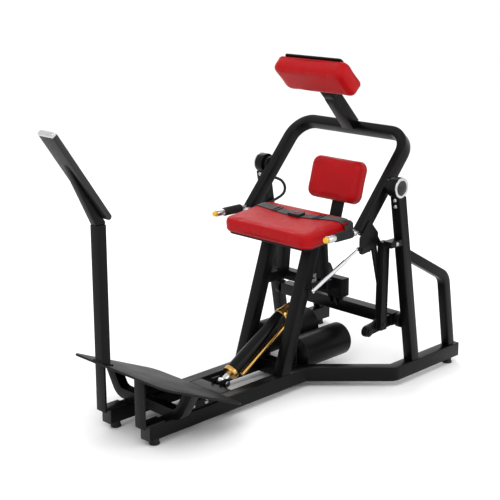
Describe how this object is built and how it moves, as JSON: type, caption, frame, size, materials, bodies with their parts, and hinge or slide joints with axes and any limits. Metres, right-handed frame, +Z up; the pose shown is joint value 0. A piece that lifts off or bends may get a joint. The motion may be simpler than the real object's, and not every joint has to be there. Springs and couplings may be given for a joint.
{
  "type": "seated lower-back extension machine",
  "caption": "Seated lower-back strength machine: swinging padded arm with hand grips, linked to an air cylinder, with red seat, lumbar pad, sloping foot plate and display post.",
  "frame": {"origin": "on the floor, under the middle of the machine's overall box", "axes": "+X to the seated user's left, +Y from the foot plate towards the back of the machine, +Z up"},
  "size_m": [0.782, 1.7238, 1.3057],
  "materials": {
    "black_paint": "satin textured powder coat",
    "foot_plate_paint": "fine textured powder coat",
    "grey_tank_paint": "satin",
    "barrel_paint": "gloss",
    "black_rubber": "matt",
    "black_plastic": "matt",
    "red_vinyl": "soft gloss grained vinyl",
    "webbing": "woven",
    "red_plastic": "gloss",
    "yellow_plastic": "gloss",
    "bright_steel": "satin",
    "chrome": "polished",
    "brass": "satin anodised",
    "screen_glass": "gloss"
  },
  "bodies": {
    "frame": {"rail_left": "black_paint", "rail_right": "black_paint", "rail_end_caps": "black_plastic", "rubber_feet": "black_rubber", "cylinder_cross_tube": "black_paint", "tank_cross_tube": "black_paint", "seat_legs": "black_paint", "seat_subframe": "black_paint", "seat_plate": "black_paint", "seat_cushion": "red_vinyl", "regulator_box": "black_paint", "lumbar_post": "black_paint", "lumbar_back_plate": "black_paint", "lumbar_cushion": "red_vinyl", "belt_straps": "webbing", "belt_buckle": "black_plastic", "post_left": "black_paint", "post_right": "black_paint", "hoop_left": "black_paint", "hoop_right": "black_paint", "pivot_housings": "black_paint", "pivot_rings": "bright_steel", "pivot_caps": "black_plastic", "frame_bolts": "bright_steel", "post_brackets": "black_paint", "torque_bearings": "black_paint", "cylinder_pin": "bright_steel", "air_tank_left": "black_paint", "air_tank_right": "grey_tank_paint", "hose": "black_rubber", "foot_plate": "foot_plate_paint", "foot_plate_frame": "black_paint", "display_post": "black_paint", "display_bracket": "black_paint", "console_housing": "black_plastic", "console_cap": "bright_steel", "screen": "screen_glass", "strut_pin": "chrome"},
    "arm": {"arm_frame": "black_paint", "pivot_hubs": "black_paint", "arm_stub": "black_paint", "pad_bracket": "black_paint", "upper_cushion": "red_vinyl", "grip_bars": "bright_steel", "grip_rubbers": "black_rubber", "arm_lower_plate": "black_paint"},
    "thumb_button_left": {"thumb_button_left": "yellow_plastic"},
    "thumb_button_right": {"thumb_button_right": "yellow_plastic"},
    "link": {"link_lever": "black_paint"},
    "crank": {"torque_tube": "black_paint", "crank_plates": "black_paint"},
    "cylinder": {"cylinder_barrel": "barrel_paint", "cylinder_end_fitting": "bright_steel", "brass_ring": "brass", "gold_cone": "brass", "air_tube": "brass"},
    "piston_rod": {"piston_rod": "chrome"},
    "strut": {"strut_barrel": "chrome"},
    "strut_rod": {"strut_rod": "chrome"},
    "buckle_button": {"buckle_button": "red_plastic"}
  },
  "joints": [
    {"name": "arm_pivot", "type": "hinge", "parent": "frame", "child": "arm", "pos_m": [0, 0.439, 0.818], "axis": [-1, 0, 0], "range_deg": [0, 40], "stiffness_Nm_per_rad": 90, "springref_deg": -68.75},
    {"name": "link_pivot", "type": "hinge", "parent": "arm", "child": "link", "pos_m": [0, 0.352, 0.636], "axis": [1, 0, 0], "range_deg": [0, 59.5]},
    {"name": "crank_turn", "type": "hinge", "parent": "frame", "child": "crank", "pos_m": [0, 0.522, 0.253], "axis": [-1, 0, 0], "range_deg": [0, 41.5]},
    {"name": "cylinder_pivot", "type": "hinge", "parent": "frame", "child": "cylinder", "pos_m": [0, -0.163, 0.08], "axis": [-1, 0, 0], "range_deg": [0, 4.5]},
    {"name": "piston_slide", "type": "slide", "parent": "cylinder", "child": "piston_rod", "axis": [0, 0.8619, 0.507], "range_m": [0, 0.131]},
    {"name": "strut_pivot", "type": "hinge", "parent": "frame", "child": "strut", "pos_m": [0.155, 0.187, 0.41], "axis": [0.7794, -0.5093, -0.3649], "range_deg": [0, 29.5]},
    {"name": "strut_slide", "type": "slide", "parent": "strut", "child": "strut_rod", "axis": [0.5846, 0.3818, 0.7159], "range_m": [0, 0.115]},
    {"name": "thumb_press_left", "type": "slide", "parent": "arm", "child": "thumb_button_left", "axis": [0, 1, 0], "range_m": [0, 0.004], "stiffness_N_per_m": 400},
    {"name": "thumb_press_right", "type": "slide", "parent": "arm", "child": "thumb_button_right", "axis": [0, 1, 0], "range_m": [0, 0.004], "stiffness_N_per_m": 400},
    {"name": "buckle_press", "type": "slide", "parent": "frame", "child": "buckle_button", "axis": [0, 0.1045, -0.9945], "range_m": [0, 0.003], "stiffness_N_per_m": 400}
  ],
  "couplings": [
    {"joint": "link_pivot", "follows": "arm_pivot", "ratio": 1.4746},
    {"joint": "crank_turn", "follows": "arm_pivot", "ratio": 1.0253},
    {"joint": "cylinder_pivot", "follows": "arm_pivot", "ratio": 0.099083},
    {"joint": "piston_slide", "follows": "arm_pivot", "m_per_rad": 0.18483},
    {"joint": "strut_pivot", "follows": "arm_pivot", "ratio": 0.72257},
    {"joint": "strut_slide", "follows": "arm_pivot", "m_per_rad": 0.16242}
  ]
}
